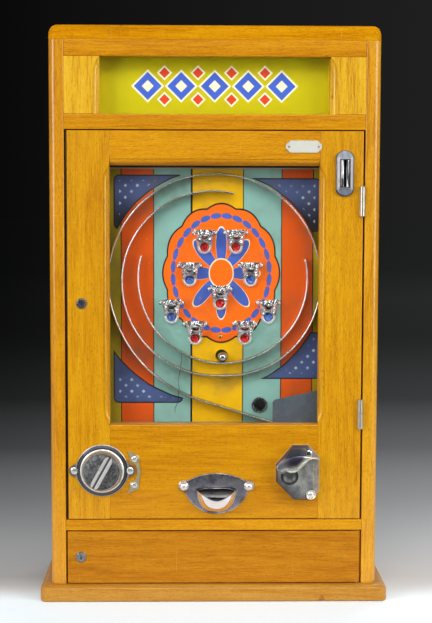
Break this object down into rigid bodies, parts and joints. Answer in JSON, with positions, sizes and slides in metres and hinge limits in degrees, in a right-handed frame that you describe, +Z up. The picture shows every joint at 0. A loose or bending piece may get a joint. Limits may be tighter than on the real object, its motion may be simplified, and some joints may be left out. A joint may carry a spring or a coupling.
{
  "type": "penny arcade machine",
  "caption": "Oak wall-hung penny ball game: glazed hinged door carrying spiral ball lanes, pressed cups, spring striker, coin slot, payout knob and cup, over a lockable cash door.",
  "frame": {"origin": "middle of the plinth's underside", "axes": "+Z up, the front faces -Y, +X to the right of a person facing the front"},
  "size_m": [0.44, 0.217, 0.7218],
  "materials": {
    "oak_case": "golden oak under worn gloss varnish",
    "oak_door": "golden oak under worn gloss varnish",
    "clear_glass": "clear window glass",
    "sign_enamel": "yellow-green enamel with a plain lozenge pattern",
    "hinge_steel": "plain steel, worn",
    "field_paint": "painted board in broad upright stripes",
    "rail_steel": "bent steel strip",
    "chrome_cups": "pressed and plated sheet",
    "red_enamel": "gloss red",
    "blue_enamel": "gloss blue",
    "peg_brass": "turned brass",
    "cover_zinc": "grey sheet",
    "chrome_fittings": "plated castings, lightly worn",
    "plate_ivory": "bare off-white plate",
    "sheet_tin": "folded tinplate",
    "tube_brass": "drawn brass tube, dulled",
    "mech_steel": "oiled steel",
    "nickel_plate": "dull nickel plate",
    "dark_steel": "dark worn steel with a bright grip",
    "spring_steel": "drawn spring wire",
    "ball_steel": "polished ball",
    "lock_steel": "worn lock plug"
  },
  "bodies": {
    "cabinet": {"base_plinth": "oak_case", "left_side": "oak_case", "right_side": "oak_case", "top_board": "oak_case", "back_board": "oak_case", "cash_shelf": "oak_case", "mid_rail": "oak_case", "sign_rails": "oak_case", "sign_stiles": "oak_case", "sign_carriers": "oak_case", "door_stop": "oak_case", "sign_glass": "clear_glass", "sign_panel": "sign_enamel", "hinge_case_leaves": "hinge_steel"},
    "door": {"door_left_stile": "oak_door", "door_right_stile": "oak_door", "door_top_rail": "oak_door", "door_bottom_rail": "oak_door", "door_strips": "oak_door", "door_glass": "clear_glass", "playfield_board": "field_paint", "outer_rail": "rail_steel", "middle_rail": "rail_steel", "inner_rail": "rail_steel", "ball_cups": "chrome_cups", "red_jewels": "red_enamel", "blue_jewels": "blue_enamel", "lost_peg": "peg_brass", "ball_eyelet": "chrome_cups", "striker_cover": "cover_zinc", "coin_entry": "chrome_fittings", "notice_plate": "plate_ivory", "coin_chute": "sheet_tin", "coin_tube": "tube_brass", "coin_bracket": "mech_steel", "payout_chute": "sheet_tin", "slide_guide": "mech_steel", "ball_gallery": "sheet_tin", "knob_escutcheon": "chrome_fittings", "keeper_bracket": "nickel_plate", "payout_cup": "chrome_fittings", "trigger_housing": "chrome_fittings", "trigger_plate": "mech_steel", "dome_screws": "chrome_fittings", "hinge_door_leaves": "hinge_steel", "door_lock_barrel": "chrome_fittings", "payout_spring": "spring_steel", "striker_spring": "spring_steel"},
    "knob": {"payout_knob": "dark_steel", "payout_crank": "mech_steel"},
    "slide": {"payout_slide": "mech_steel"},
    "trigger": {"trigger_lever": "chrome_fittings", "striker": "mech_steel"},
    "ball": {"steel_ball": "ball_steel"},
    "door_lock": {"door_lock_plug": "lock_steel"},
    "cash_door": {"cash_door": "oak_door", "cash_pivots": "mech_steel", "cash_lock_barrel": "chrome_fittings"},
    "cash_lock": {"cash_lock_plug": "lock_steel"}
  },
  "joints": [
    {"name": "door_swing", "type": "hinge", "parent": "cabinet", "child": "door", "pos_m": [0.1836, -0.0925, 0.3], "axis": [0, 0, 1], "range_deg": [0, 100]},
    {"name": "cash_door_swing", "type": "hinge", "parent": "cabinet", "child": "cash_door", "pos_m": [0.1818, -0.086, 0.055], "axis": [0, 0, 1], "range_deg": [0, 95]},
    {"name": "payout_knob_turn", "type": "hinge", "parent": "door", "child": "knob", "pos_m": [-0.141, -0.09, 0.1668], "axis": [0, 1, 0], "range_deg": [0, 50], "stiffness_Nm_per_rad": 0.1, "springref_deg": -11.46},
    {"name": "payout_slide_move", "type": "slide", "parent": "door", "child": "slide", "axis": [1, 0, 0], "range_m": [0, 0.0339], "deforming": ["payout_spring"]},
    {"name": "trigger_pull", "type": "hinge", "parent": "door", "child": "trigger", "pos_m": [0.1008, -0.09, 0.176], "axis": [0, 1, 0], "range_deg": [0, 30], "stiffness_Nm_per_rad": 0.2, "springref_deg": -11.46, "deforming": ["striker_spring"]},
    {"name": "ball_roll", "type": "hinge", "parent": "door", "child": "ball", "pos_m": [0.0108, -0.06185, 0.407], "axis": [0, 1, 0], "range_deg": [-75, 75]},
    {"name": "door_lock_turn", "type": "hinge", "parent": "door", "child": "door_lock", "pos_m": [-0.1662, -0.09, 0.3776], "axis": [0, -1, 0], "range_deg": [0, 90]},
    {"name": "cash_lock_turn", "type": "hinge", "parent": "cash_door", "child": "cash_lock", "pos_m": [-0.1682, -0.09, 0.0557], "axis": [0, -1, 0], "range_deg": [0, 90]}
  ],
  "couplings": [
    {"joint": "payout_slide_move", "follows": "payout_knob_turn", "m_per_rad": 0.038743}
  ]
}
